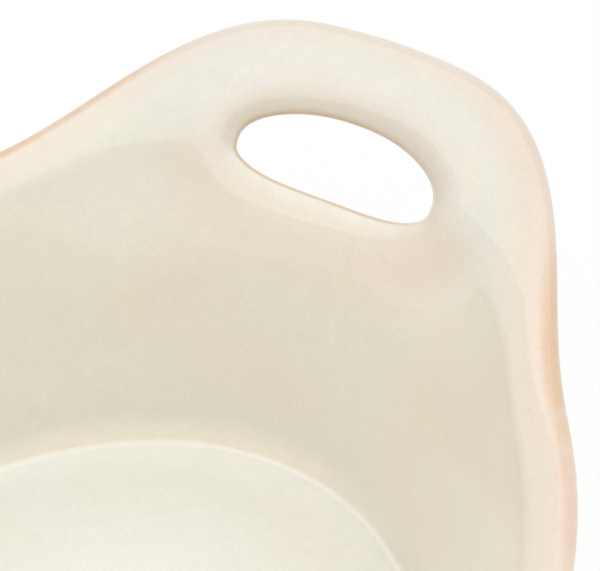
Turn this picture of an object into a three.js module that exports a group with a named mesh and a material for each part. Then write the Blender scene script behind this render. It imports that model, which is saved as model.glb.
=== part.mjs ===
// Oval stoneware baking dish with a raised, pierced handle at each end.
// Millimetres, +Z up. +X runs along the dish through both handles, and the origin lies under
// the middle of the foot. The clay parts are a base slab on a foot ring, a flared wall, two
// turned out lips along the sides and two handle arches, luted face to face.

import * as THREE from 'three';
import { mergeVertices } from 'three/addons/utils/BufferGeometryUtils.js';

// Driving dimensions: floor and foot
const floorLength = 268;
const floorWidth = 182;
const floorTop = 9;
const footHeight = 2;
const footWidth = 9;
const footInset = 8;
const footChamfer = 0.8;
const underEdgeReach = 2.5;

// Driving dimensions: wall and rim, the rim measured to the middle of its rounded edge
const wallThickness = 8;
const rimHeight = 82.5;
const endFlare = 25;
const sideFlare = 27.5;
const lipWidth = 6.5;

// Driving dimensions: handles and their finger slots
const handleRise = 22.5;
const handleOverhang = 30;
const handleCrown = 23;
const handleSpread = 182;
const handleWidth = 40;
const handleFootSpan = 104;
const slotLength = 55;
const slotHeight = 20;
const slotBelowRim = 30.7;
const slotSquareness = 2.33;

// Driving angles, in degrees from upright
const leanAtFloor = 8;
const leanBelowLip = 22;
const leanBelowHandle = 36;
const lipLean = 58;
const handleLean = 70.5;

// How finely curves are divided
const sideSegments = 24;
const footSegments = 5;
const slotSegments = 16;
const wallRows = 8;
const flangeRows = 6;
const edgeSegments = 6;
const underEdgeSegments = 4;
const locateRounds = 12;
const locateHalvings = 40;

// Worked out from the sizes above
const halfThickness = wallThickness / 2;
const floorX = floorLength / 2;
const floorY = floorWidth / 2;
const slotReachY = slotLength / 2 + halfThickness;
const slotReachUp = slotHeight / 2 + halfThickness;
const slotStep = Math.PI / slotSegments;
const middleOffset = -floorY / 2;

// Shares of a curve: the bend line's place on a section, and the pull of each curve's ends
const bendShare = 0.7;
const wallPullLow = 0.45;
const wallPullHigh = 0.4;
const lipPull = { low: 0.4, high: 0.5, chord: 0.72 };
const handlePull = { low: 0.4, high: 0.4, chord: 0.52 };
const bendFade = 1.7;
const smallStep = 1e-4;

const mix = THREE.MathUtils.lerp;
const radians = THREE.MathUtils.degToRad;

// 1 over a handle's crown, 0 along the sides, eased between them; y is measured across the dish
function handleShare(y) {
  const from = handleCrown / 2;
  const to = handleSpread / 2;
  return 1 - THREE.MathUtils.smootherstep(Math.abs(y), from, to);
}

// A point that lies a distance off the floor's edge, towards an angle from the upright
function step(start, lean, distance) {
  return new THREE.Vector2(start.x + Math.sin(lean) * distance, start.y + Math.cos(lean) * distance);
}

// The middle line of the wall at one angle round the dish, as offset from the floor's edge and height:
// a wall curve up to the bend line, then a flange curve that is the lip or the handle
function section(turn) {
  const flare = mix(endFlare, sideFlare, Math.sin(turn) ** 2);
  const share = handleShare((floorY + flare) * Math.sin(turn));
  const rim = new THREE.Vector2(flare + handleOverhang * share, rimHeight + handleRise * share);
  const foot = step(new THREE.Vector2(0, floorTop), radians(90 + leanAtFloor), halfThickness);
  const lowLean = radians(leanAtFloor);
  const bendLean = radians(mix(leanBelowLip, leanBelowHandle, share));
  const rimLean = radians(mix(lipLean, handleLean, share));
  const chordLean = mix(bendLean, rimLean, mix(lipPull.chord, handlePull.chord, share));
  const width = mix(lipWidth, handleWidth, share ** bendFade);
  const bend = step(rim, chordLean, -width);
  const rise = bend.y - foot.y;
  const flangeLow = mix(lipPull.low, handlePull.low, share) * width;
  const flangeHigh = mix(lipPull.high, handlePull.high, share) * width;
  const wall = new THREE.CubicBezierCurve(
    foot,
    step(foot, lowLean, wallPullLow * rise),
    step(bend, bendLean, -wallPullHigh * rise),
    bend,
  );
  const flange = new THREE.CubicBezierCurve(
    bend,
    step(bend, bendLean, flangeLow),
    step(rim, rimLean, -flangeHigh),
    rim,
  );
  return { wall, flange };
}

// A section's point by its share of the way from the floor, 0, over the bend line to the rim, 1
function sectionPoint(curves, share) {
  if (share < bendShare) return curves.wall.getPoint(Math.max(share, 0) / bendShare);
  return curves.flange.getPoint((Math.min(share, 1) - bendShare) / (1 - bendShare));
}

function surfacePoint(turn, share) {
  const flat = sectionPoint(section(turn), share);
  return new THREE.Vector3((floorX + flat.x) * Math.cos(turn), (floorY + flat.x) * Math.sin(turn), flat.y);
}

// The upward direction along the section, halfway between its directions below and above the point
function upAlong(turn, share) {
  const here = surfacePoint(turn, share);
  const below = here.clone().sub(surfacePoint(turn, share - smallStep)).normalize();
  const above = surfacePoint(turn, share + smallStep).sub(here).normalize();
  return below.add(above).normalize();
}

// A place on the wall's middle surface, with the direction that faces into the dish
function place(turn, share) {
  const along = surfacePoint(turn + smallStep, share).sub(surfacePoint(turn - smallStep, share));
  const inward = upAlong(turn, share).cross(along).normalize();
  return { turn, share, point: surfacePoint(turn, share), inward, edge: null };
}

// A place on the rim, whose rounded edge faces away from the dish
function rimPlace(turn) {
  const made = place(turn, 1);
  const along = surfacePoint(turn + smallStep, 1).sub(surfacePoint(turn - smallStep, 1));
  made.edge = along.cross(made.inward).normalize();
  return made;
}

// Where the middle surface has a given place across the dish and height, near one end of the dish
function locate(across, height) {
  let turn = 0;
  let share = bendShare;
  for (let round = 0; round < locateRounds; round += 1) {
    const curves = section(turn);
    let low = 0;
    let high = 1;
    for (let halving = 0; halving < locateHalvings; halving += 1) {
      share = (low + high) / 2;
      if (sectionPoint(curves, share).y < height) low = share;
      else high = share;
    }
    turn = Math.asin(across / (floorY + sectionPoint(curves, share).x));
  }
  return { turn, share };
}

// The section through the middle of a handle, walked by length down from the rim
const handleLine = new THREE.CurvePath();
const handleSection = section(0);
handleLine.add(handleSection.wall);
handleLine.add(handleSection.flange);

function slotPoint(angle) {
  const power = 2 / slotSquareness;
  const across = slotReachY * Math.sign(Math.cos(angle)) * Math.abs(Math.cos(angle)) ** power;
  const up = slotReachUp * Math.sign(Math.sin(angle)) * Math.abs(Math.sin(angle)) ** power;
  const length = handleLine.getLength();
  return locate(across, handleLine.getPointAt((length - slotBelowRim + up) / length).y);
}

// A place on the middle line of the slot's rounded edge, which faces into the slot
function slotPlace(angle) {
  const here = slotPoint(angle);
  const made = place(here.turn, here.share);
  const before = slotPoint(angle - slotStep / 2);
  const after = slotPoint(angle + slotStep / 2);
  const along = surfacePoint(after.turn, after.share).sub(surfacePoint(before.turn, before.share));
  made.edge = along.cross(made.inward).normalize();
  return made;
}

// Borders between the clay parts, for one handle at the +X end
const footTurn = Math.asin(handleFootSpan / 2 / (floorY + sideFlare));
const slotEnd = slotPlace(0);

// The handle's foot joint, from the lip's corner on the bend line to the slot's end
function footJoint(way) {
  const joint = [];
  for (let i = 0; i < footSegments; i += 1) {
    const along = i / footSegments;
    const eased = THREE.MathUtils.smoothstep(along, 0, 1);
    joint.push(place(way * mix(footTurn, slotEnd.turn, along), mix(bendShare, slotEnd.share, eased)));
  }
  return joint;
}

function slotHalf(way) {
  const half = [];
  for (let i = 0; i <= slotSegments; i += 1) {
    half.push(slotPlace(Math.PI + way * slotStep * i));
  }
  return half;
}

// Walked from -Y to +Y, the way that the turn grows
const footBefore = footJoint(-1);
const footAfter = footJoint(1).reverse();
const slotLower = slotHalf(1);
const slotUpper = slotHalf(-1);
const handleColumns = footBefore.length + slotLower.length + footAfter.length;
const handleTurn = (column) => mix(-footTurn, footTurn, column / (handleColumns - 1));

// One column of places from a lower border to an upper one, straight on the middle surface
function column(bottom, top, rows) {
  const places = [bottom];
  for (let row = 1; row < rows; row += 1) {
    const along = row / rows;
    places.push(place(mix(bottom.turn, top.turn, along), mix(bottom.share, top.share, along)));
  }
  places.push(top);
  return { places, lowEdge: false, highEdge: false };
}

// A column where a rounded edge gives way to a joint closes off the edge's round end
function asJoint(made) {
  return { places: made.places, lowEdge: false, highEdge: made.highEdge };
}

function handleEnd() {
  const columns = [];
  const lower = [...footBefore, ...slotUpper, ...footAfter];
  const firstSlot = footBefore.length;
  const lastSlot = firstSlot + slotSegments;
  lower.forEach((bottom, index) => {
    const made = column(bottom, rimPlace(handleTurn(index)), flangeRows);
    made.highEdge = true;
    made.lowEdge = index >= firstSlot && index <= lastSlot;
    if (index === firstSlot) columns.push(asJoint(made));
    columns.push(made);
    if (index === lastSlot) columns.push(asJoint(made));
  });
  return columns;
}

function lipSide() {
  const columns = [];
  for (let i = 0; i <= sideSegments; i += 1) {
    const turn = mix(footTurn, Math.PI - footTurn, i / sideSegments);
    const made = column(place(turn, bendShare), rimPlace(turn), flangeRows);
    made.highEdge = true;
    columns.push(made);
  }
  return columns;
}

// Half of the wall, from the start of one handle's foot to the end of the lip after it
function wallHalf() {
  const columns = [];
  const upper = [...footBefore, ...slotLower, ...footAfter];
  const firstSlot = footBefore.length;
  const lastSlot = firstSlot + slotSegments;
  upper.forEach((top, index) => {
    const made = column(place(handleTurn(index), 0), top, wallRows);
    const joint = { ...made };
    made.highEdge = index >= firstSlot && index <= lastSlot;
    if (index === firstSlot) columns.push(joint);
    columns.push(made);
    if (index === lastSlot) columns.push(joint);
  });
  for (let i = 1; i < sideSegments; i += 1) {
    const turn = mix(footTurn, Math.PI - footTurn, i / sideSegments);
    columns.push(column(place(turn, 0), place(turn, bendShare), wallRows));
  }
  return columns;
}

// Solid building: a loop of points for each column, joined to the next column's loop
function faceOf(made, side) {
  return made.point.clone().addScaledVector(made.inward, side * halfThickness);
}

function roundEdge(made, fromSide) {
  const points = [];
  for (let i = 1; i < edgeSegments; i += 1) {
    const angle = (Math.PI * i) / edgeSegments;
    points.push(
      made.point
        .clone()
        .addScaledVector(made.inward, fromSide * halfThickness * Math.cos(angle))
        .addScaledVector(made.edge, halfThickness * Math.sin(angle)),
    );
  }
  return points;
}

// Inner face upwards, over the rim, outer face downwards and back under; a joint is a flat face
function sheetLoop({ places, lowEdge, highEdge }) {
  const inner = places.map((made) => faceOf(made, 1));
  const outer = places.map((made) => faceOf(made, -1)).reverse();
  const flat = (point) => Array.from({ length: edgeSegments - 1 }, () => point);
  const over = highEdge ? roundEdge(places.at(-1), 1) : flat(outer[0]);
  const under = lowEdge ? roundEdge(places[0], -1) : flat(inner[0]);
  return [...inner, ...over, ...outer, ...under];
}

function addTriangle(corners, a, b, c) {
  const area = b.clone().sub(a).cross(c.clone().sub(a)).length();
  if (area > smallStep) corners.push(a, b, c);
}

// A four sided patch is split along its shorter diagonal, so both sides of a joint split alike
function addPatch(corners, a, b, c, d) {
  if (a.distanceTo(c) <= b.distanceTo(d)) {
    addTriangle(corners, a, b, c);
    addTriangle(corners, a, c, d);
  } else {
    addTriangle(corners, a, b, d);
    addTriangle(corners, b, c, d);
  }
}

function addLoft(corners, loops, closedRound, closedSection) {
  const last = closedRound ? loops.length : loops.length - 1;
  for (let i = 0; i < last; i += 1) {
    const here = loops[i];
    const next = loops[(i + 1) % loops.length];
    const points = closedSection ? here.length : here.length - 1;
    for (let j = 0; j < points; j += 1) {
      const k = (j + 1) % here.length;
      addPatch(corners, here[j], here[k], next[k], next[j]);
    }
  }
}

// The flat end of a sheet, where it meets the next sheet along the rim
function addSheetEnd(corners, { places }, way) {
  const inner = places.map((made) => faceOf(made, 1));
  const outer = places.map((made) => faceOf(made, -1));
  const add = (a, b, c) => (way > 0 ? addTriangle(corners, a, b, c) : addTriangle(corners, a, c, b));
  for (let i = 0; i + 1 < places.length; i += 1) {
    const patch = [];
    addPatch(patch, inner[i], inner[i + 1], outer[i + 1], outer[i]);
    for (let j = 0; j < patch.length; j += 3) add(patch[j], patch[j + 1], patch[j + 2]);
  }
  const rim = [inner.at(-1), ...roundEdge(places.at(-1), 1), outer.at(-1)];
  for (let i = 0; i + 2 < rim.length; i += 1) add(outer.at(-1), rim[i], rim[i + 1]);
}

function solidFrom(corners) {
  const geometry = new THREE.BufferGeometry().setFromPoints(corners);
  const merged = mergeVertices(geometry, smallStep);
  merged.computeVertexNormals();
  return merged;
}

function sheetSolid(columns) {
  const corners = [];
  addLoft(corners, columns.map(sheetLoop), false, true);
  addSheetEnd(corners, columns.at(-1), 1);
  addSheetEnd(corners, columns[0], -1);
  return solidFrom(corners);
}

// The other end of the dish is the same end, turned half way round
function turnedHalf(columns) {
  const turned = (vector) => (vector ? new THREE.Vector3(-vector.x, -vector.y, vector.z) : null);
  return columns.map((made) => ({
    ...made,
    places: made.places.map((each) => ({
      ...each,
      point: turned(each.point),
      inward: turned(each.inward),
      edge: turned(each.edge),
    })),
  }));
}

const halfColumns = wallHalf();
const wallColumns = [...halfColumns, ...turnedHalf(halfColumns)];

function wallSolid() {
  const corners = [];
  addLoft(corners, wallColumns.map(sheetLoop), true, true);
  return solidFrom(corners);
}

// The point of an oval that lies an offset outside the floor's edge, beside a column of the wall
function ovalPoint(made, offset, height) {
  const { x, y } = made.point;
  const turn = Math.atan2(y / (floorY + halfThickness), x / (floorX + halfThickness));
  return new THREE.Vector3((floorX + offset) * Math.cos(turn), (floorY + offset) * Math.sin(turn), height);
}

// The floor, the wall's seat and the rounded under edge down to the flat underside
function slabLoop({ places }) {
  const made = places[0];
  const crease = faceOf(made, 1);
  const seat = faceOf(made, -1);
  const underEdge = new THREE.QuadraticBezierCurve3(
    seat,
    ovalPoint(made, wallThickness - Math.tan(radians(leanAtFloor)) * (floorTop - footHeight), footHeight),
    ovalPoint(made, underEdgeReach, footHeight),
  );
  return [
    new THREE.Vector3(0, 0, floorTop),
    ovalPoint(made, middleOffset, floorTop),
    crease,
    ...underEdge.getPoints(underEdgeSegments),
    ovalPoint(made, middleOffset, footHeight),
    new THREE.Vector3(0, 0, footHeight),
  ];
}

function slabSolid() {
  const corners = [];
  addLoft(corners, wallColumns.map(slabLoop), true, false);
  return solidFrom(corners);
}

// A low flat ring against the underside, with its lower corners broken
function footLoop({ places }) {
  const at = (offset, height) => ovalPoint(places[0], offset, height);
  const outside = -footInset;
  const inside = outside - footWidth;
  return [
    at(inside, footChamfer),
    at(inside, footHeight),
    at(outside, footHeight),
    at(outside, footChamfer),
    at(outside - footChamfer, 0),
    at(inside + footChamfer, 0),
  ];
}

function footSolid() {
  const corners = [];
  addLoft(corners, wallColumns.map(footLoop), true, true);
  return solidFrom(corners);
}

// Finishes: a cream glaze over all but the foot, which is bare clay
function glaze(colour) {
  return new THREE.MeshStandardMaterial({ color: colour, roughness: 0.28, metalness: 0 });
}

function bareClay() {
  return new THREE.MeshStandardMaterial({ color: 0xcfae8b, roughness: 0.9, metalness: 0 });
}

const dish = new THREE.Group();
dish.name = 'baking_dish';

function addPart(name, geometry, material) {
  const mesh = new THREE.Mesh(geometry, material);
  mesh.name = name;
  dish.add(mesh);
}

const handleSheet = handleEnd();
const lipSheet = lipSide();
addPart('base_slab', slabSolid(), glaze(0xedeadb));
addPart('foot_ring', footSolid(), bareClay());
addPart('side_wall', wallSolid(), glaze(0xe2dcc6));
addPart('back_lip', sheetSolid(lipSheet), glaze(0xf2e8da));
addPart('front_lip', sheetSolid(turnedHalf(lipSheet)), glaze(0xf2e8da));
addPart('right_handle', sheetSolid(handleSheet), glaze(0xeeeade));
addPart('left_handle', sheetSolid(turnedHalf(handleSheet)), glaze(0xeeeade));

export default dish;
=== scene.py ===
"""Oval stoneware baking dish with a raised, pierced handle at each end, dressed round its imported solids.

Lengths are metres in the frame of the solids: +X runs along the dish through both handles, +Z is up and the
origin lies under the middle of the foot. The clay parts are separate pieces that meet where the slip joints
are, and the glaze runs over the joints without a break.
"""

import math
from functools import cached_property

import bpy
import numpy as np
from mathutils import Matrix, Vector
from mathutils.kdtree import KDTree


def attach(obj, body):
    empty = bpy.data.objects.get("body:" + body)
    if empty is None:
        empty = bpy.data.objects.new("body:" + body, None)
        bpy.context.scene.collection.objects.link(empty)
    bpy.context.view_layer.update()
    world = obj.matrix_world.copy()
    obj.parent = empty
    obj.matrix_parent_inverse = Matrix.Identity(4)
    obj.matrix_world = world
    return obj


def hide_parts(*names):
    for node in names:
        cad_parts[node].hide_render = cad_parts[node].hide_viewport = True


bl_info = {
    "name": "Stoneware Baking Dish",
    "version": (1, 0, 0),
    "blender": (4, 5, 0),
    "location": "3D View > Sidebar > Baking Dish",
    "description": "Models and glazes the clay parts of an oval baking dish",
    "category": "Add Mesh",
}

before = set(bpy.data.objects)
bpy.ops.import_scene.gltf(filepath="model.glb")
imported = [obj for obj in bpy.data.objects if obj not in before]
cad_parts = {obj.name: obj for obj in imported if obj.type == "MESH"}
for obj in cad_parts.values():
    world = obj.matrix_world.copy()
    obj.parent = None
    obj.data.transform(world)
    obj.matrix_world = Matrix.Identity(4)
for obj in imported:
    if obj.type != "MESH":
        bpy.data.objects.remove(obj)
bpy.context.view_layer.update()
BODY = "root"
GLAZE_SLOT = "cream_glaze"
CLAY_SLOT = "bare_clay"
TINY = 1e-6
SMALL_STEP = 1e-4
NEAR_REACH = 0.03  # how far from the rim or a slot the glaze still changes
JOINT_ANGLE = math.radians(50)  # a face that leans further from the glazed surface belongs to a joint
CORNER_ANGLE = math.radians(35)  # a sharper bend of the slab or the foot ring shows as a corner
HALF_TURN = Matrix.Diagonal((-1, -1, 1, 1))


def length(name, description, default):
    return bpy.props.FloatProperty(name=name, description=description, default=default, unit="LENGTH")


def angle(name, description, degrees):
    return bpy.props.FloatProperty(
        name=name, description=description, default=math.radians(degrees), subtype="ANGLE"
    )


def share(name, description, default):
    return bpy.props.FloatProperty(name=name, description=description, default=default, subtype="FACTOR")


def count(name, description, default):
    return bpy.props.IntProperty(name=name, description=description, default=default, min=1)


def linear(red, green, blue):
    """A colour that is named by its 0 to 255 screen values, as the shader's own linear values."""
    shown = np.array([red, green, blue]) / 255
    return tuple(np.where(shown <= 0.04045, shown / 12.92, ((shown + 0.055) / 1.055) ** 2.4))


def colour(name, description, *screen):
    return bpy.props.FloatVectorProperty(
        name=name, description=description, default=linear(*screen), size=3, subtype="COLOR"
    )


# Sizes and colours that a user would change

class DishSizes(bpy.types.PropertyGroup):
    """The sizes that the clay parts share."""

    floor_length: length("Floor length", "Inside floor from end to end", 0.268)
    floor_width: length("Floor width", "Inside floor from side to side", 0.182)
    floor_top: length("Floor height", "Top of the inside floor above the table", 0.009)
    foot_height: length("Foot height", "Height of the foot ring", 0.002)
    foot_width: length("Foot width", "Width of the foot ring", 0.009)
    foot_inset: length("Foot inset", "Outside of the foot ring in from the floor's edge", 0.008)
    foot_chamfer: length("Foot chamfer", "Broken lower corner of the foot ring", 0.0008)
    under_edge: length("Under edge", "Flat underside beyond the floor's edge", 0.0025)
    floor_fillet: length("Floor fillet", "Clay pressed into the corner of floor and wall", 0.002)
    wall_thickness: length("Wall thickness", "Thickness of the wall, lips and handles", 0.008)
    rim_height: length("Rim height", "Middle of the rim along the sides, above the table", 0.0825)
    end_flare: length("End flare", "Rim beyond the floor's edge at the ends, before the handles", 0.025)
    side_flare: length("Side flare", "Rim beyond the floor's edge at the sides", 0.0275)
    lip_width: length("Lip width", "Bend line to the middle of the rim along the sides", 0.0065)
    handle_rise: length("Handle rise", "Handle's rim above the side rim", 0.0225)
    handle_overhang: length("Handle overhang", "Handle's rim beyond the flared wall", 0.030)
    handle_crown: length("Handle crown", "Level stretch of each handle's rim", 0.023)
    handle_spread: length("Handle spread", "Width over which the rim rises into a handle", 0.182)
    handle_width: length("Handle width", "Bend line to the middle of the rim at a handle", 0.040)
    handle_foot_span: length("Handle foot span", "Across a handle from lip to lip", 0.104)
    slot_length: length("Slot length", "Clear length of the finger slot", 0.055)
    slot_height: length("Slot height", "Clear height of the finger slot", 0.020)
    slot_below_rim: length("Slot below rim", "Middle of the rim to the middle of the slot", 0.0307)
    slot_squareness: bpy.props.FloatProperty(
        name="Slot squareness", description="2 is an oval slot, and more is squarer", default=2.33
    )
    rim_roll: length("Rim roll", "Width over which the faces roll over into the rim", 0.0065)
    slot_roll: length("Slot roll", "Width over which the faces roll over into the slot", 0.0105)
    lean_at_floor: angle("Lean at floor", "Wall from upright at the floor", 8)
    lean_below_lip: angle("Lean below lip", "Wall from upright under the lips", 22)
    lean_below_handle: angle("Lean below handle", "Wall from upright under the handles", 36)
    lip_lean: angle("Lip lean", "Lips from upright at the rim", 58)
    handle_lean: angle("Handle lean", "Handles from upright at the rim", 70.5)
    bend_share: share("Bend share", "Place of the bend line on the way from floor to rim", 0.7)


class MeshDetail(bpy.types.PropertyGroup):
    """How finely the pieces are divided."""

    side_columns: count("Side columns", "Columns along each lip", 132)
    foot_columns: count("Foot columns", "Columns along each joint under a handle", 22)
    slot_columns: count("Slot columns", "Columns along each half of a finger slot", 56)
    wall_rows: count("Wall rows", "Rows up the wall", 44)
    flange_rows: count("Flange rows", "Rows up the lips and handles", 26)
    edge_steps: count("Edge steps", "Steps round a rounded edge", 16)
    fillet_steps: count("Fillet steps", "Steps up the fillet at the floor", 6)
    under_steps: count("Under steps", "Steps round the under edge", 12)
    ring_points: count("Ring points", "Points round the floor and the foot", 256)


class GlazeColours(bpy.types.PropertyGroup):
    """The colours of the fired glaze and clay."""

    cream: colour("Cream", "The glaze where it lies evenly", 247, 242, 224)
    peach: colour("Peach", "Warm clouds where the glaze is thin", 246, 228, 205)
    pool: colour("Pool", "Cool clouds where the glaze has pooled", 242, 239, 228)
    settled: colour("Settled", "Pale glaze that has settled on the floor", 248, 249, 243)
    # Glow is painted light: the pale warm foot of the wall stands in for the extra light that the wall's
    # upturned foot catches.
    glow: colour("Glow", "Pale warm glaze that has run down to the foot of the wall", 254, 247, 231)
    amber: colour("Amber", "Glaze broken thin over an edge", 232, 190, 144)
    # Pearl is a painted highlight: a pale pinkish line over the slot in place of the lamp's reflection where
    # the arch rolls under.
    pearl: colour("Pearl", "Thin glaze drawn into a pale line over the slot", 250, 238, 229)
    blush: colour("Blush", "Pale warm halo beside a broken edge", 247, 222, 201)
    clay: colour("Clay", "Bare fired clay", 205, 172, 135)
    speck: colour("Speck", "Iron specks in the bare clay", 140, 102, 70)


class StudioSetting(bpy.types.PropertyGroup):
    """Where the camera and lamps stand, and how bright they are."""

    camera_place: bpy.props.FloatVectorProperty(
        name="Camera place", description="Where the camera stands",
        default=(-0.3385, -0.2837, 0.5510), unit="LENGTH",
    )
    camera_aim: bpy.props.FloatVectorProperty(
        name="Camera aim", description="What the middle of the picture shows",
        default=(0.1468, 0.0026, 0.060), unit="LENGTH",
    )
    camera_roll: angle("Camera roll", "How far the camera leans to one side", -0.3)
    camera_lens: bpy.props.FloatProperty(
        name="Camera lens", description="Focal length on a 36 mm wide sensor, in mm", default=178.4
    )
    sky_strength: bpy.props.FloatProperty(
        name="Sky strength", description="Light from all round", default=0.77
    )
    key_power: bpy.props.FloatProperty(
        name="Key power", description="Watts of the large soft lamp", default=6.9
    )
    floor_glow: share("Floor glow", "How much of its own white the floor shows the camera", 0.88)


# The form of the dish

def ease(value):
    value = np.clip(value, 0, 1)
    return value**3 * (value * (value * 6 - 15) + 10)


def mix(low, high, part):
    return low + (high - low) * part


def unit_vectors(vectors):
    return vectors / np.linalg.norm(vectors, axis=-1, keepdims=True)


def quadratic(part, a, b, c):
    rest = 1 - part
    return rest**2 * a + 2 * rest * part * b + part**2 * c


def cubic(part, a, b, c, d):
    rest = 1 - part
    return rest**3 * a + 3 * rest**2 * part * b + 3 * rest * part**2 * c + part**3 * d


class DishForm:
    """The middle surface of the clay, by the turn round the dish and the share of the way up to the rim."""

    WALL_PULL_LOW = 0.45
    WALL_PULL_HIGH = 0.4
    LIP_CHORD, HANDLE_CHORD = 0.72, 0.52
    LIP_PULL_LOW, HANDLE_PULL_LOW = 0.18, 0.4
    LIP_PULL_HIGH, HANDLE_PULL_HIGH = 0.5, 0.4
    BEND_FADE = 1.7
    SLOT_SEARCH_ROUNDS = 12
    SLOT_SEARCH_HALVINGS = 40
    LINE_STEPS = 2000

    def __init__(self, sizes):
        self.sizes = sizes
        self.half = sizes.wall_thickness / 2
        self.floor_x = sizes.floor_length / 2
        self.floor_y = sizes.floor_width / 2
        self.foot_turn = math.asin(sizes.handle_foot_span / 2 / (self.floor_y + sizes.side_flare))
        self.edges = []

    def handle_share(self, across):
        """1 over a handle's crown, 0 along the sides, eased between them."""
        start = self.sizes.handle_crown / 2
        end = self.sizes.handle_spread / 2
        return 1 - ease((np.abs(across) - start) / (end - start))

    def offset_and_height(self, turn, part):
        """How far the middle surface lies outside the floor's edge, and how high."""
        s = self.sizes
        flare = mix(s.end_flare, s.side_flare, np.sin(turn) ** 2)
        handle = self.handle_share((self.floor_y + flare) * np.sin(turn))
        rim_out = flare + s.handle_overhang * handle
        rim_up = s.rim_height + s.handle_rise * handle
        foot_out = self.half * math.cos(s.lean_at_floor)
        foot_up = s.floor_top - self.half * math.sin(s.lean_at_floor)
        bend_lean = mix(s.lean_below_lip, s.lean_below_handle, handle)
        rim_lean = mix(s.lip_lean, s.handle_lean, handle)
        chord_lean = mix(bend_lean, rim_lean, mix(self.LIP_CHORD, self.HANDLE_CHORD, handle))
        width = mix(s.lip_width, s.handle_width, handle**self.BEND_FADE)
        bend_out = rim_out - np.sin(chord_lean) * width
        bend_up = rim_up - np.cos(chord_lean) * width
        rise = bend_up - foot_up
        low = self.WALL_PULL_LOW * rise
        high = self.WALL_PULL_HIGH * rise
        begin = mix(self.LIP_PULL_LOW, self.HANDLE_PULL_LOW, handle) * width
        end = mix(self.LIP_PULL_HIGH, self.HANDLE_PULL_HIGH, handle) * width
        on_wall = part < s.bend_share
        wall = np.clip(part / s.bend_share, 0, 1)
        flange = np.clip((part - s.bend_share) / (1 - s.bend_share), 0, 1)
        out = np.where(
            on_wall,
            cubic(wall, foot_out, foot_out + math.sin(s.lean_at_floor) * low,
                  bend_out - np.sin(bend_lean) * high, bend_out),
            cubic(flange, bend_out, bend_out + np.sin(bend_lean) * begin,
                  rim_out - np.sin(rim_lean) * end, rim_out),
        )
        up = np.where(
            on_wall,
            cubic(wall, foot_up, foot_up + math.cos(s.lean_at_floor) * low,
                  bend_up - np.cos(bend_lean) * high, bend_up),
            cubic(flange, bend_up, bend_up + np.cos(bend_lean) * begin,
                  rim_up - np.cos(rim_lean) * end, rim_up),
        )
        return out, up

    def surface(self, turn, part):
        out, up = self.offset_and_height(turn, part)
        return np.stack([(self.floor_x + out) * np.cos(turn), (self.floor_y + out) * np.sin(turn), up], -1)

    def along(self, turn, part):
        return self.surface(turn + SMALL_STEP, part) - self.surface(turn - SMALL_STEP, part)

    def inward(self, turn, part):
        """The direction that faces into the dish, square to the middle surface."""
        here = self.surface(turn, part)
        below = here - self.surface(turn, np.maximum(part - SMALL_STEP, 0))
        above = self.surface(turn, np.minimum(part + SMALL_STEP, 1)) - here
        below = below / np.maximum(np.linalg.norm(below, axis=-1, keepdims=True), TINY**2)
        above = above / np.maximum(np.linalg.norm(above, axis=-1, keepdims=True), TINY**2)
        return unit_vectors(np.cross(below + above, self.along(turn, part)))

    def rim_edge(self, turn):
        """The direction that the rim's rounded edge faces."""
        top = np.ones_like(turn)
        return unit_vectors(np.cross(self.along(turn, top), self.inward(turn, top)))

    def slot_line(self, angles):
        """Turn and share of the middle line of the finger slot's rounded edge, at the +X handle."""
        s = self.sizes
        power = 2 / s.slot_squareness
        reach_across = s.slot_length / 2 + self.half
        reach_up = s.slot_height / 2 + self.half
        across = reach_across * np.sign(np.cos(angles)) * np.abs(np.cos(angles)) ** power
        climb = reach_up * np.sign(np.sin(angles)) * np.abs(np.sin(angles)) ** power
        parts = np.linspace(0, 1, self.LINE_STEPS)
        line = self.surface(np.zeros_like(parts), parts)
        walked = np.append(0, np.cumsum(np.linalg.norm(np.diff(line, axis=0), axis=1)))
        height = np.interp(walked[-1] - s.slot_below_rim + climb, walked, line[:, 2])
        turn = np.zeros_like(angles)
        for _ in range(self.SLOT_SEARCH_ROUNDS):
            low = np.zeros_like(angles)
            high = np.ones_like(angles)
            for _ in range(self.SLOT_SEARCH_HALVINGS):
                part = (low + high) / 2
                out, up = self.offset_and_height(turn, part)
                low = np.where(up < height, part, low)
                high = np.where(up < height, high, part)
            turn = np.arcsin(across / (self.floor_y + out))
        return turn, part

    def slot_edge(self, angles):
        """The direction that the slot's rounded edge faces, into the slot."""
        before = self.surface(*self.slot_line(angles - SMALL_STEP))
        after = self.surface(*self.slot_line(angles + SMALL_STEP))
        return unit_vectors(np.cross(after - before, self.inward(*self.slot_line(angles))))

    def free_edges(self):
        """The rim's and the +X slot's edge, worked out once."""
        if not self.edges:
            turn = np.linspace(-math.pi, math.pi, self.LINE_STEPS * 2)
            rim = self.surface(turn, np.ones_like(turn)) + self.half * self.rim_edge(turn)
            angles = np.linspace(0, 2 * math.pi, self.LINE_STEPS)
            slot = self.surface(*self.slot_line(angles)) + self.half * self.slot_edge(angles)
            self.edges = [FreeEdge(rim, self.sizes.rim_roll), FreeEdge(slot, self.sizes.slot_roll)]
        return self.edges


class Border:
    """A row of places on the middle surface where a sheet of clay ends, at a joint or in a rolled edge."""

    def __init__(self, turn, part, edge=None, roll=0.0):
        self.turn = turn
        self.part = part
        self.edge = edge if edge is not None else np.zeros((len(turn), 3))
        self.roll = np.full(len(turn), roll)

    def then(self, other):
        joined = Border(np.append(self.turn, other.turn), np.append(self.part, other.part))
        joined.edge = np.concatenate([self.edge, other.edge])
        joined.roll = np.append(self.roll, other.roll)
        return joined


def rim_border(form, turn):
    return Border(turn, np.ones_like(turn), form.rim_edge(turn), form.sizes.rim_roll)


def joint_border(turn, part):
    return Border(turn, part)


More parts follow.
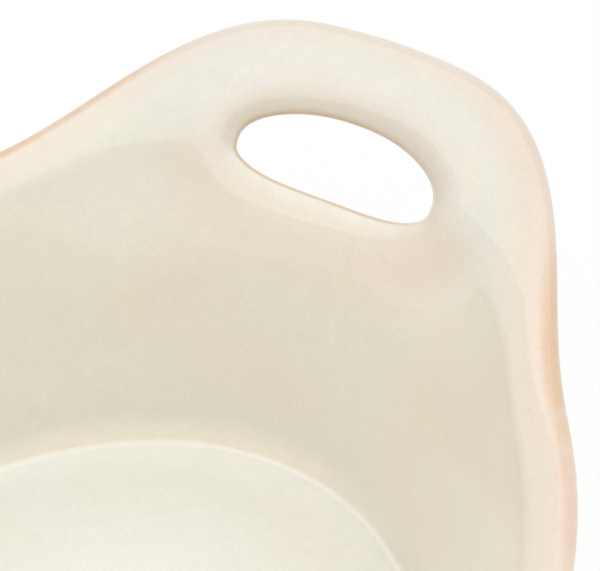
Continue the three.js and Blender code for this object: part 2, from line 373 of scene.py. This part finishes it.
def foot_joints(form, detail):
    """The joints under a handle's two feet, from the lip's corner to the slot's end and away from it again.

    The slot's end is the last place of the first joint and the first place of the second, so that the slot's
    rolled edge is closed off there.
    """
    end_turn, end_part = form.slot_line(np.array([0.0]))
    way = np.linspace(0, 1, detail.foot_columns + 1)
    turn = mix(form.foot_turn, end_turn, way)
    part = mix(form.sizes.bend_share, end_part, way * way * (3 - 2 * way))
    return joint_border(-turn, part), joint_border(turn[::-1], part[::-1])


def slot_border(form, detail, way):
    """Half of the slot's edge, walked from -Y to +Y: the lower half for a way of 1, the upper half for -1."""
    angles = math.pi + way * np.linspace(0, math.pi, detail.slot_columns + 1)
    turn, part = form.slot_line(angles)
    return Border(turn, part, form.slot_edge(angles), form.sizes.slot_roll)


def spread_turns(form, border):
    """Turns spread evenly over a handle's span, one for each column; doubled columns stay together."""
    step = (np.abs(np.diff(border.turn)) + np.abs(np.diff(border.part)) > TINY).astype(float)
    walked = np.append(0, np.cumsum(step))
    return mix(-form.foot_turn, form.foot_turn, walked / walked[-1])


class FreeEdge:
    """The outermost line of a rolled edge, towards which the clay thins from the roll's width inwards."""

    def __init__(self, line, roll):
        self.line = line
        self.roll = roll
        self.tree = KDTree(len(line))
        for index, point in enumerate(line):
            self.tree.insert(point, index)
        self.tree.balance()

    def reach(self, points):
        """How far each point lies from the edge, and the direction to it."""
        nearest = np.array([self.tree.find(point)[1] for point in points.reshape(-1, 3)])
        gap = self.line[nearest].reshape(points.shape) - points
        distance = np.linalg.norm(gap, axis=-1)
        return distance, gap / np.maximum(distance, TINY)[..., None]


class Sheet:
    """One bent sheet of clay as a grid of columns round its section.

    Each run of the section holds points, facing directions and the distances to the rim and to the slot.
    """

    BESIDE_EDGE = 1.5  # half thicknesses from a free edge within which the sheet's border rolls into it

    def __init__(self, form, bottom, top, rows, detail):
        ways = np.linspace(0, 1, rows + 1)
        turn = mix(bottom.turn[:, None], top.turn[:, None], ways)
        part = mix(bottom.part[:, None], top.part[:, None], ways)
        self.form = form
        self.edge_steps = detail.edge_steps
        self.middle = form.surface(turn, part)
        self.inward = form.inward(turn, part)
        reaches = [edge.reach(self.middle) for edge in form.free_edges()]
        self.distances = [distance for distance, _ in reaches]
        inner = self.face(1, reaches)
        outer = self.face(-1, reaches)
        over = self.rolled_edge(-1, 1, top, outer)
        under = self.rolled_edge(0, -1, bottom, inner)
        self.runs = [inner, over, [each[:, ::-1] for each in outer], under]

    def face(self, side, reaches):
        """The inner or the outer face, which draws in to the middle surface within a free edge's roll."""
        half = self.form.half
        thick = np.full(self.middle.shape[:-1], half)
        lean = np.zeros(self.middle.shape)
        for edge, (distance, direction) in zip(self.form.free_edges(), reaches):
            sine = np.clip(1 - distance / edge.roll, 0, 1 - TINY)
            cosine = np.sqrt(1 - sine**2)
            thick = thick * cosine
            lean += direction * (half * sine / (edge.roll * cosine))[..., None]
        points = self.middle + side * thick[..., None] * self.inward
        return [points, unit_vectors(side * self.inward + lean), *self.distances]

    def rolled_edge(self, row, side, border, far_face):
        """Round the edge where it is free, as the end of an ellipse; the joint's corner where it isn't."""
        half = self.form.half
        free = border.roll > 0
        roll = np.where(free, border.roll, half)[:, None]
        start = np.arcsin(1 - half / roll)
        way = np.arange(1, self.edge_steps) / self.edge_steps
        turned = mix(start, math.pi - start, way[None, :])
        sine, cosine = np.sin(turned), np.cos(turned)
        inward = side * self.inward[:, row, None]
        edge = border.edge[:, None]
        out = half - roll * (1 - sine)
        points = self.middle[:, row, None] + edge * out[..., None] + inward * (half * cosine)[..., None]
        facing = inward * (roll * cosine)[..., None] + edge * (half * sine)[..., None]
        rolled = [points, unit_vectors(facing)]
        for distance in self.distances:
            beside = np.broadcast_to(distance[:, row, None], turned.shape)
            rolled.append(np.where(beside < half * self.BESIDE_EDGE, roll * (1 - sine), beside))
        corner = [each[:, row, None] for each in far_face]
        return [
            np.where(free.reshape(-1, *[1] * (made.ndim - 1)), made, np.broadcast_to(flat, made.shape))
            for made, flat in zip(rolled, corner)
        ]

    def grid(self):
        """The section's runs joined into a loop that ends where it begins."""
        joined = [np.concatenate(each, axis=1) for each in zip(*self.runs)]
        return [np.concatenate([each, each[:, :1]], axis=1) for each in joined]


def half_turned(grid):
    """The same grid on the other half of the dish."""
    points, facing, *distances = grid
    turned = np.diagonal(HALF_TURN)[:3]
    return [points * turned, facing * turned, *distances]


# Modelling

def alone(piece):
    """Makes a piece the only selected object."""
    bpy.ops.object.select_all(action="DESELECT")
    piece.select_set(True)
    bpy.context.view_layer.objects.active = piece


def named_active(name):
    piece = bpy.context.object
    piece.name = name
    piece.data.name = name
    return piece


def edit(piece, select_mode="VERT"):
    alone(piece)
    bpy.ops.object.mode_set(mode="EDIT")
    bpy.ops.mesh.select_mode(type=select_mode)
    bpy.ops.mesh.select_all(action="SELECT")


def object_mode():
    bpy.ops.object.mode_set(mode="OBJECT")


def bent_sheet(name, grid, ends_meet):
    """A flat grid, bent to the dish's form, closed along its section and shut at its ends."""
    points, facing, to_rim, to_slot = grid
    columns, rows = to_rim.shape
    bpy.ops.object.select_all(action="DESELECT")
    bpy.ops.mesh.primitive_grid_add(x_subdivisions=columns - 1, y_subdivisions=rows - 1, size=1)
    piece = named_active(name)
    mesh = piece.data
    flat = np.empty(len(mesh.vertices) * 3, np.float32)
    mesh.vertices.foreach_get("co", flat)
    flat = flat.reshape(-1, 3)
    column = np.rint((flat[:, 0] + 0.5) * (columns - 1)).astype(int)
    row = np.rint((flat[:, 1] + 0.5) * (rows - 1)).astype(int)
    mesh.vertices.foreach_set("co", points[column, row].astype(np.float32).ravel())
    direction = mesh.attributes.new("facing", "FLOAT_VECTOR", "POINT")
    direction.data.foreach_set("vector", facing[column, row].astype(np.float32).ravel())
    for label, distance in (("rim_near", to_rim), ("slot_near", to_slot)):
        near = np.clip(1 - distance[column, row] / NEAR_REACH, 0, 1)
        mesh.attributes.new(label, "FLOAT", "POINT").data.foreach_set("value", near.astype(np.float32))
    edit(piece)
    bpy.ops.mesh.remove_doubles(threshold=TINY)
    bpy.ops.mesh.dissolve_degenerate(threshold=TINY)
    if not ends_meet:
        bpy.ops.mesh.select_all(action="DESELECT")
        bpy.ops.mesh.select_non_manifold()
        bpy.ops.mesh.fill_holes(sides=0)
        bpy.ops.mesh.select_all(action="SELECT")
    bpy.ops.mesh.normals_make_consistent(inside=False)
    object_mode()
    smooth_over_joints(piece)
    return piece


def smooth_over_joints(piece):
    """Shades each face by the true surface, so that the glaze shows no break where two pieces meet."""
    bpy.ops.object.shade_smooth()
    mesh = piece.data
    corners = np.empty(len(mesh.loops), np.int32)
    mesh.loops.foreach_get("vertex_index", corners)
    true = np.empty(len(mesh.vertices) * 3, np.float32)
    mesh.attributes["facing"].data.foreach_get("vector", true)
    true = true.reshape(-1, 3)[corners]
    face = np.empty(len(mesh.polygons) * 3, np.float32)
    mesh.polygons.foreach_get("normal", face)
    sides = np.empty(len(mesh.polygons), np.int32)
    mesh.polygons.foreach_get("loop_total", sides)
    face = np.repeat(face.reshape(-1, 3), sides, axis=0)
    agree = (true * face).sum(1) > math.cos(JOINT_ANGLE)
    mesh.normals_split_custom_set(np.where(agree[:, None], true, face).tolist())
    mesh.attributes.remove(mesh.attributes["facing"])


def half_turned_copy(piece, name):
    """A copy with its own mesh, turned to the other end or side of the dish."""
    alone(piece)
    bpy.ops.object.duplicate(linked=False)
    copy = named_active(name)
    copy.data.transform(HALF_TURN)
    return copy


def oval_circle(form, offset, height, points):
    """A ring round the dish, an offset outside the floor's edge."""
    bpy.ops.object.select_all(action="DESELECT")
    bpy.ops.mesh.primitive_circle_add(vertices=points, radius=1, location=(0, 0, height))
    ring = bpy.context.object
    bpy.ops.transform.resize(value=(form.floor_x + offset, form.floor_y + offset, 1))
    bpy.ops.object.transform_apply(location=True, rotation=True, scale=True)
    return ring


def extrude_ring(form, before, after):
    """Extrudes the selected ring from one offset and height to the next."""
    sizes = ((form.floor_x + after[0]) / (form.floor_x + before[0]),
             (form.floor_y + after[0]) / (form.floor_y + before[0]), 1)
    bpy.ops.mesh.extrude_edges_move()
    bpy.ops.transform.resize(value=sizes, center_override=(0, 0, 0))
    bpy.ops.transform.translate(value=(0, 0, after[1] - before[1]))


def ring_profile(form, name, profile, points, closed):
    """A ring that is extruded along a profile of offsets and heights, and closed or filled at its ends."""
    ring = oval_circle(form, *profile[0], points)
    named_active(name)
    edit(ring, "EDGE")
    if not closed:
        bpy.ops.mesh.edge_face_add()
    for before, after in zip(profile, profile[1:]):
        extrude_ring(form, before, after)
    if closed:
        bpy.ops.mesh.select_all(action="SELECT")
        bpy.ops.mesh.remove_doubles(threshold=TINY)
    else:
        bpy.ops.mesh.edge_face_add()
    bpy.ops.mesh.select_all(action="SELECT")
    bpy.ops.mesh.normals_make_consistent(inside=False)
    object_mode()
    return ring


# Finishes

class Value:
    """A socket of a finish, with the sums that its expressions use."""

    def __init__(self, finish, socket):
        self.finish = finish
        self.socket = socket

    def sum(self, operation, *values):
        return self.finish.node("ShaderNodeMath", {"operation": operation}, dict(enumerate(values)))

    def __add__(self, other):
        return self.sum("ADD", self, other)

    __radd__ = __add__

    def __sub__(self, other):
        return self.sum("SUBTRACT", self, other)

    def __rsub__(self, other):
        return self.sum("SUBTRACT", other, self)

    def __mul__(self, other):
        return self.sum("MULTIPLY", self, other)

    __rmul__ = __mul__

    def between(self, low, high):
        """0 below low, 1 above high, eased between them."""
        inputs = {"Value": self, "From Min": low, "From Max": high}
        return self.finish.node("ShaderNodeMapRange", {"interpolation_type": "SMOOTHSTEP"}, inputs)

    def band(self, rise, full, fall, end):
        """1 from full to fall, eased down to 0 at rise and at end."""
        return self.between(rise, full) * (1 - self.between(fall, end))

    def size(self):
        """The value without its sign."""
        return self.sum("ABSOLUTE", self)

    def most(self, other):
        """The larger of two values."""
        return self.sum("MAXIMUM", self, other)


class Nodes:
    """A node tree whose nodes are added one by one."""

    def __init__(self, tree):
        self.tree = tree

    def node(self, kind, settings=None, inputs=None, output=0):
        made = self.tree.nodes.new(kind)
        for name, value in (settings or {}).items():
            setattr(made, name, value)
        for name, value in (inputs or {}).items():
            self.feed(made.inputs[name], value)
        return Value(self, made.outputs[output])

    def feed(self, socket, value):
        if isinstance(value, Value):
            self.tree.links.new(value.socket, socket)
        elif hasattr(value, "__len__") and socket.type == "RGBA" and len(value) == 3:
            socket.default_value = (*value, 1)
        else:
            socket.default_value = value

    def seen_directly(self):
        """1 for rays from the camera, mirrors and glass, 0 for the light that falls on the dish."""
        seen = self.node("ShaderNodeLightPath", output="Is Camera Ray")
        for ray in ("Is Glossy Ray", "Is Transmission Ray"):
            seen = seen.most(self.node("ShaderNodeLightPath", output=ray))
        return seen


class Finish(Nodes):
    """A material and its shader."""

    MIX_FACTOR, MIX_LOW, MIX_HIGH, MIX_RESULT = 0, 6, 7, 2

    def __init__(self, name):
        self.material = bpy.data.materials.new(name)
        self.material.use_nodes = True
        super().__init__(self.material.node_tree)
        self.shader = self.tree.nodes["Principled BSDF"]

    @cached_property
    def place(self):
        """Where a point lies in the frame of the dish."""
        return self.node("ShaderNodeTexCoord", output="Object")

    def axis(self, name):
        return self.node("ShaderNodeSeparateXYZ", None, {"Vector": self.place}, name)

    def surface(self, **inputs):
        for name, value in inputs.items():
            self.feed(self.shader.inputs[name.replace("_", " ").title().replace("Ior", "IOR")], value)

    def noise(self, per_metre, detail, roughness, stretch=(1, 1, 1), shift=(0, 0, 0)):
        moved = {"Vector": self.place, "Scale": stretch, "Location": shift}
        place = self.node("ShaderNodeMapping", None, moved)
        inputs = {"Vector": place, "Scale": per_metre, "Detail": detail, "Roughness": roughness}
        return self.node("ShaderNodeTexNoise", None, inputs)

    def attribute(self, name):
        return self.node("ShaderNodeAttribute", {"attribute_name": name}, None, "Fac")

    def blend(self, low, high, part):
        inputs = {self.MIX_FACTOR: part, self.MIX_LOW: low, self.MIX_HIGH: high}
        return self.node("ShaderNodeMix", {"data_type": "RGBA"}, inputs, self.MIX_RESULT)

    def shaded(self, tint, part):
        """A colour times a grey value."""
        grey = self.node("ShaderNodeCombineColor", None, {"Red": part, "Green": part, "Blue": part})
        settings = {"data_type": "RGBA", "blend_type": "MULTIPLY"}
        inputs = {self.MIX_FACTOR: 1.0, self.MIX_LOW: tint, self.MIX_HIGH: grey}
        return self.node("ShaderNodeMix", settings, inputs, self.MIX_RESULT)

    def bump(self, height, distance):
        inputs = {"Height": height, "Distance": distance, "Strength": 1.0}
        return self.node("ShaderNodeBump", None, inputs)


class GlazePlaces:
    """The parts of the dish as values from 0 to 1, and the noises that break up the glaze on them."""

    def __init__(self, finish, sizes):
        sideways = finish.axis("Y")
        above_floor = finish.axis("Z") - sizes.floor_top
        above_rim = finish.axis("Z") - sizes.rim_height
        from_end = finish.axis("X") * (2 / sizes.floor_length)
        from_side = sideways * (2 / sizes.floor_width)
        self.rim = finish.attribute("rim_near")
        self.slot = finish.attribute("slot_near")
        self.across = sideways.size()
        self.flame_side = 1 - sideways.between(-0.06, 0.01)
        self.raised = above_rim.between(-0.0125, 0.0125)
        self.handle = self.raised * (1 - self.across.between(0.045, 0.065))
        self.arch = above_rim.between(0.0035, 0.0115)
        # painted shade: the underside of the arch over the slot, which faces down
        self.arch_underside = self.slot.between(0.74, 0.94) * self.arch
        self.floor = above_floor.band(-0.0008, -0.0002, 0.00005, 0.0003)
        # painted light along the floor's edge and up the foot of the wall
        self.floor_edge = self.floor * (from_end * from_end + from_side * from_side).between(0.76, 0.97)
        self.wall_foot = above_floor.band(0.0, 0.0003, 0.0005, 0.011)
        self.clouds = finish.noise(15, 3.0, 0.55)
        self.pools = finish.noise(26, 3.0, 0.6, shift=(3.1, 1.7, 0.4))
        self.mottle = finish.noise(150, 4.0, 0.7)
        self.grain = finish.noise(1300, 1.0, 0.5)
        self.streaks = finish.noise(30, 3.0, 0.6, shift=(0.2, 5.0, 1.3))
        self.rings = finish.noise(70, 2.0, 0.5, stretch=(0.1, 0.1, 1))
        self.drips = finish.noise(260, 2.0, 0.6, stretch=(1, 1, 0.12))


def body_tint(finish, at, hues):
    """Cream in warm and cool clouds, warmer on the flame's side, paler on the floor, and with painted light
    as a pale warm glow at the wall's foot.
    """
    tint = finish.blend(hues.cream, hues.peach, at.clouds.between(0.48, 0.7) * (0.1 + 0.25 * at.mottle))
    tint = finish.blend(tint, hues.peach, at.flame_side * (0.05 + 0.2 * at.mottle))
    tint = finish.blend(tint, hues.pool, at.pools.between(0.4, 0.64) * (0.15 + 0.45 * at.handle))
    # painted light: the pale warm glow at the wall's foot
    tint = finish.blend(tint, hues.glow, at.wall_foot * (1 - 0.7 * at.flame_side))
    tint = finish.blend(tint, hues.settled, at.floor * (0.6 + 0.6 * at.pools) * (1 - 0.4 * at.flame_side))
    return finish.blend(tint, hues.blush, at.floor * at.clouds.between(0.42, 0.6) * at.mottle * 0.12)


def slot_tint(finish, at, hues, tint):
    """A cool arc and a painted highlight as a pale pinkish arc over the slot, a warm underside to the arch
    and a warm patch below the slot.
    """
    cool_arc = at.slot.band(0.22, 0.42, 0.5, 0.66) * at.arch
    tint = finish.blend(tint, hues.pool, cool_arc * (0.1 + 0.8 * at.pools))
    # painted highlight: a pale pinkish line over the slot where the arch rolls under
    painted_highlight_arc = at.slot.band(0.65, 0.7, 0.75, 0.82) * at.arch
    tint = finish.blend(tint, hues.pearl, painted_highlight_arc * (0.4 + 0.6 * at.mottle))
    # a warm tint on the arch's underside, which also gets painted shade in glaze_shade
    tint = finish.blend(tint, hues.peach, at.arch_underside * 0.65)
    patch = at.slot.band(0.15, 0.6, 0.85, 0.98) * (1 - at.arch) * (0.5 + 0.5 * at.flame_side)
    return finish.blend(tint, hues.peach, patch * (0.85 + 0.4 * at.clouds))


def edge_tint(finish, at, hues, tint):
    """Blush along the rim, and amber where the glaze breaks thin over the lips and the slot's edge; along the
    slot's top edge the amber is partly painted shade.
    """
    tint = finish.blend(tint, hues.peach, at.rim.between(0.55, 0.85) * at.flame_side * 0.6)
    tint = finish.blend(tint, hues.blush, at.rim.between(0.62, 0.95) * (0.2 + 0.75 * at.streaks))
    along_lips = (at.across + 0.012 * (1 - at.flame_side)).between(0.056, 0.072)
    strength = (0.8 - 0.4 * at.across.between(0.084, 0.1)) * (0.35 + 0.65 * at.streaks.between(0.36, 0.56))
    broken = (at.rim + 0.06 * at.drips).between(0.9, 0.985)
    tint = finish.blend(tint, hues.amber, broken * along_lips * strength)
    # amber on the slot's edge; along the top edge under the arch it is partly painted shade, a dark line
    return finish.blend(tint, hues.amber, at.slot.between(0.972, 0.998) * (0.85 - 0.2 * at.arch))


def glaze_shade(at):
    """How light the glaze is: uneven in itself, with painted light at the foot of the wall and along the
    floor's edge, darker up the handles, and painted shade under the arch over each slot.
    """
    # painted light at the foot of the wall and along the floor's edge, less on the flame's side
    painted_light_at_crease = (0.085 * at.wall_foot + 0.1 * at.floor_edge) * (1 - at.flame_side)
    uneven = 0.09 * at.mottle + 0.11 * at.grain + 0.02 * at.rings
    # the underside term is painted shade; the raised and handle terms only darken the handles
    darker = 0.045 * at.raised + 0.042 * at.handle + 0.05 * at.arch_underside
    return 0.832 + 0.01 * at.floor + painted_light_at_crease + uneven - darker


def fired_glaze(name):
    """Cream glaze in warm and cool clouds, thinning to blush and amber where it breaks over an edge."""
    hues = bpy.context.scene.glaze_colours
    finish = Finish(name)
    at = GlazePlaces(finish, bpy.context.scene.dish_sizes)
    tint = body_tint(finish, at, hues)
    tint = slot_tint(finish, at, hues, tint)
    tint = edge_tint(finish, at, hues, tint)
    tint = finish.shaded(tint, glaze_shade(at))
    soft = finish.bump(at.mottle, 0.00004)
    finish.surface(base_color=tint, roughness=0.32 + 0.08 * at.mottle, normal=soft, ior=1.5)
    finish.surface(coat_weight=1.0, coat_roughness=0.018, coat_ior=1.75)
    return finish.material


def fired_clay(name):
    """Dry fired clay with a sandy tooth and iron specks."""
    hues = bpy.context.scene.glaze_colours
    finish = Finish(name)
    sand = finish.noise(1100, 3.0, 0.65)
    clouds = finish.noise(35, 3.0, 0.55)
    specks = finish.noise(520, 1.0, 0.5, shift=(1.0, 2.0, 3.0))
    tint = finish.shaded(hues.clay, 0.86 + 0.16 * clouds + 0.1 * sand)
    tint = finish.blend(tint, hues.speck, specks.between(0.68, 0.74) * 0.8)
    finish.surface(base_color=tint, roughness=0.88 + 0.08 * sand, normal=finish.bump(sand, 0.00025))
    return finish.material


FINISHES = {GLAZE_SLOT: fired_glaze, CLAY_SLOT: fired_clay}


def dress(piece, node, slot):
    """Gives a finished piece its glaze or bare clay and its place in the frame."""
    finish = FINISHES[slot]
    material = bpy.data.materials.get(finish.__name__) or finish(finish.__name__)
    piece.data.materials.clear()
    piece.data.materials.append(material)
    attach(piece, BODY)
    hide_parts(node)


# Operators

def dish_form():
    return DishForm(bpy.context.scene.dish_sizes)


def add_pair(sheet, first_node, second_node):
    """Bends one sheet, copies it to the other end or side of the dish and dresses both."""
    first = bent_sheet(first_node + "_piece", sheet.grid(), ends_meet=False)
    second = half_turned_copy(first, second_node + "_piece")
    dress(first, first_node, GLAZE_SLOT)
    dress(second, second_node, GLAZE_SLOT)


class AddBaseSlab(bpy.types.Operator):
    """Models the oval floor with its rounded under edge."""

    bl_idname = "baking_dish.add_base_slab"
    bl_label = "Base Slab"

    def execute(self, context):
        form = dish_form()
        s = form.sizes
        detail = context.scene.dish_detail
        seat = (s.wall_thickness * math.cos(s.lean_at_floor),
                s.floor_top - s.wall_thickness * math.sin(s.lean_at_floor))
        corner = (seat[0] - math.tan(s.lean_at_floor) * (seat[1] - s.foot_height), s.foot_height)
        end = (s.under_edge, s.foot_height)
        profile = [(0.0, s.floor_top), seat]
        for step in range(1, detail.under_steps + 1):
            way = step / detail.under_steps
            profile.append(tuple(quadratic(way, *places) for places in zip(seat, corner, end)))
        slab = ring_profile(form, "base_slab_piece", profile, detail.ring_points, closed=False)
        bpy.ops.object.shade_smooth_by_angle(angle=CORNER_ANGLE)
        dress(slab, "base_slab", GLAZE_SLOT)
        return {"FINISHED"}


class AddFootRing(bpy.types.Operator):
    """Models the bare clay ring that the dish stands on."""

    bl_idname = "baking_dish.add_foot_ring"
    bl_label = "Foot Ring"

    def execute(self, context):
        form = dish_form()
        s = form.sizes
        detail = context.scene.dish_detail
        outside = -s.foot_inset
        inside = outside - s.foot_width
        profile = [
            (outside, s.foot_height), (outside, s.foot_chamfer), (outside - s.foot_chamfer, 0.0),
            (inside + s.foot_chamfer, 0.0), (inside, s.foot_chamfer), (inside, s.foot_height),
            (outside, s.foot_height),
        ]
        ring = ring_profile(form, "foot_ring_piece", profile, detail.ring_points, closed=True)
        bpy.ops.object.shade_smooth_by_angle(angle=CORNER_ANGLE)
        dress(ring, "foot_ring", CLAY_SLOT)
        return {"FINISHED"}


class AddSideWall(bpy.types.Operator):
    """Bends the wall round the floor, up to the lips, the handles' feet and the slots' lower edges."""

    bl_idname = "baking_dish.add_side_wall"
    bl_label = "Side Wall"

    def execute(self, context):
        form = dish_form()
        detail = context.scene.dish_detail
        before, after = foot_joints(form, detail)
        handle = before.then(slot_border(form, detail, 1)).then(after)
        lip_turn = np.linspace(form.foot_turn, math.pi - form.foot_turn, detail.side_columns + 1)[1:-1]
        lip = joint_border(lip_turn, np.full_like(lip_turn, form.sizes.bend_share))
        top = handle.then(lip)
        low_turn = np.append(spread_turns(form, handle), lip_turn)
        bottom = joint_border(low_turn, np.zeros_like(low_turn))
        sheet = Sheet(form, bottom, top, detail.wall_rows, detail)
        self.press_fillet(sheet, detail)
        half = sheet.grid()
        whole = [np.concatenate([a, b, a[:1]]) for a, b in zip(half, half_turned(half))]
        wall = bent_sheet("side_wall_piece", whole, ends_meet=True)
        dress(wall, "side_wall", GLAZE_SLOT)
        return {"FINISHED"}

    def press_fillet(self, sheet, detail):
        """Curves the foot of the wall's inner face into the floor."""
        points, facing, *distances = sheet.runs[0]
        fillet = sheet.form.sizes.floor_fillet
        crease = points[:, :1].copy()
        level = facing[:, :1] * np.array([1, 1, 0])
        toe = crease + unit_vectors(level) * fillet
        toe[..., 2] = sheet.form.sizes.floor_top
        climbed = np.linalg.norm(points - crease, axis=-1)
        first = int(np.argmax(climbed.min(axis=0) > fillet))
        way = np.linspace(0, 1, detail.fillet_steps + 1)[None, :-1, None]
        end = points[:, first:first + 1]
        curve = quadratic(way, toe, crease, end)
        turned = unit_vectors(mix(np.array([0.0, 0.0, 1.0]), facing[:, first:first + 1], way))
        far = [np.broadcast_to(distance[:, :1], curve.shape[:2]) for distance in distances]
        sheet.runs[0] = [
            np.concatenate([low, high[:, first:]], axis=1)
            for low, high in zip([curve, turned, *far], sheet.runs[0])
        ]
        sheet.runs[3][0] = np.broadcast_to(toe, sheet.runs[3][0].shape)


class AddLips(bpy.types.Operator):
    """Bends the two turned out lips along the long sides."""

    bl_idname = "baking_dish.add_lips"
    bl_label = "Lips"

    def execute(self, context):
        form = dish_form()
        detail = context.scene.dish_detail
        turn = np.linspace(form.foot_turn, math.pi - form.foot_turn, detail.side_columns + 1)
        bottom = joint_border(turn, np.full_like(turn, form.sizes.bend_share))
        sheet = Sheet(form, bottom, rim_border(form, turn), detail.flange_rows, detail)
        add_pair(sheet, "back_lip", "front_lip")
        return {"FINISHED"}


class AddHandles(bpy.types.Operator):
    """Bends the two handle arches over the finger slots."""

    bl_idname = "baking_dish.add_handles"
    bl_label = "Handles"

    def execute(self, context):
        form = dish_form()
        detail = context.scene.dish_detail
        before, after = foot_joints(form, detail)
        bottom = before.then(slot_border(form, detail, -1)).then(after)
        top = rim_border(form, spread_turns(form, bottom))
        sheet = Sheet(form, bottom, top, detail.flange_rows, detail)
        add_pair(sheet, "right_handle", "left_handle")
        return {"FINISHED"}


class AddStudio(bpy.types.Operator):
    """Sets the pale floor, the soft light and the camera."""

    bl_idname = "baking_dish.add_studio"
    bl_label = "Studio"

    FLOOR_SIZE = 8.0
    FLOOR_SHADE = (0.97, 0.97, 0.97)
    FLOOR_ROUGHNESS = 0.9
    SKY_SHADE = (1, 1, 1)
    KEY_SIZE = 2.4
    KEY_PLACE = (-0.05, 0.0, 1.15)
    SENSOR_WIDTH = 36.0

    def execute(self, context):
        studio = context.scene.dish_studio
        context.scene.view_settings.view_transform = "Standard"
        self.add_floor(studio)
        self.add_sky(context.scene, studio)
        self.add_key(studio)
        self.add_camera(context.scene, studio)
        return {"FINISHED"}

    def add_floor(self, studio):
        bpy.ops.object.select_all(action="DESELECT")
        bpy.ops.mesh.primitive_plane_add(size=self.FLOOR_SIZE)
        floor = named_active("studio_floor")
        finish = Finish("pale_floor")
        finish.surface(base_color=self.FLOOR_SHADE, roughness=self.FLOOR_ROUGHNESS)
        lit = Value(finish, finish.shader.outputs["BSDF"])
        glow = finish.node("ShaderNodeEmission")
        part = finish.seen_directly() * studio.floor_glow
        shown = finish.node("ShaderNodeMixShader", None, {0: part, 1: lit, 2: glow})
        finish.feed(finish.tree.nodes["Material Output"].inputs["Surface"], shown)
        floor.data.materials.append(finish.material)

    def add_sky(self, scene, studio):
        """A sky that lights the dish at its own strength and shows itself as plain white."""
        world = bpy.data.worlds.new("studio_sky")
        world.use_nodes = True
        scene.world = world
        nodes = Nodes(world.node_tree)
        sky = nodes.tree.nodes["Background"]
        nodes.feed(sky.inputs["Color"], self.SKY_SHADE)
        strength = studio.sky_strength + (1 - studio.sky_strength) * nodes.seen_directly()
        nodes.feed(sky.inputs["Strength"], strength)

    def add_key(self, studio):
        bpy.ops.object.light_add(type="AREA", location=self.KEY_PLACE)
        lamp = bpy.context.object
        lamp.name = "key_lamp"
        lamp.data.shape = "DISK"
        lamp.data.size = self.KEY_SIZE
        lamp.data.energy = studio.key_power

    def add_camera(self, scene, studio):
        place = Vector(studio.camera_place)
        bpy.ops.object.camera_add(location=place)
        camera = bpy.context.object
        camera.name = "studio_camera"
        camera.data.lens = studio.camera_lens
        camera.data.sensor_width = self.SENSOR_WIDTH
        camera.data.sensor_fit = "HORIZONTAL"
        facing = (Vector(studio.camera_aim) - place).to_track_quat("-Z", "Y").to_matrix()
        camera.rotation_euler = (facing @ Matrix.Rotation(studio.camera_roll, 3, "Z")).to_euler()
        scene.camera = camera


class BakingDishPanel(bpy.types.Panel):
    """Lists the dish's pieces and its sizes in the sidebar."""

    bl_idname = "VIEW3D_PT_baking_dish"
    bl_label = "Baking Dish"
    bl_space_type = "VIEW_3D"
    bl_region_type = "UI"
    bl_category = "Baking Dish"

    def draw(self, context):
        for operator in OPERATORS:
            self.layout.operator(operator.bl_idname)
        for name in SETTINGS:
            group = getattr(context.scene, name)
            box = self.layout.box()
            for prop in group.__annotations__:
                box.prop(group, prop)


SETTINGS = {
    "dish_sizes": DishSizes,
    "dish_detail": MeshDetail,
    "glaze_colours": GlazeColours,
    "dish_studio": StudioSetting,
}
OPERATORS = (AddBaseSlab, AddFootRing, AddSideWall, AddLips, AddHandles, AddStudio)


def register():
    for group in SETTINGS.values():
        bpy.utils.register_class(group)
    for name, group in SETTINGS.items():
        setattr(bpy.types.Scene, name, bpy.props.PointerProperty(type=group))
    for operator in OPERATORS:
        bpy.utils.register_class(operator)
    bpy.utils.register_class(BakingDishPanel)


def unregister():
    bpy.utils.unregister_class(BakingDishPanel)
    for operator in reversed(OPERATORS):
        bpy.utils.unregister_class(operator)
    for name, group in SETTINGS.items():
        delattr(bpy.types.Scene, name)
        bpy.utils.unregister_class(group)


def main():
    register()
    bpy.ops.baking_dish.add_base_slab()
    bpy.ops.baking_dish.add_foot_ring()
    bpy.ops.baking_dish.add_side_wall()
    bpy.ops.baking_dish.add_lips()
    bpy.ops.baking_dish.add_handles()
    bpy.ops.baking_dish.add_studio()


if __name__ == "__main__":
    main()
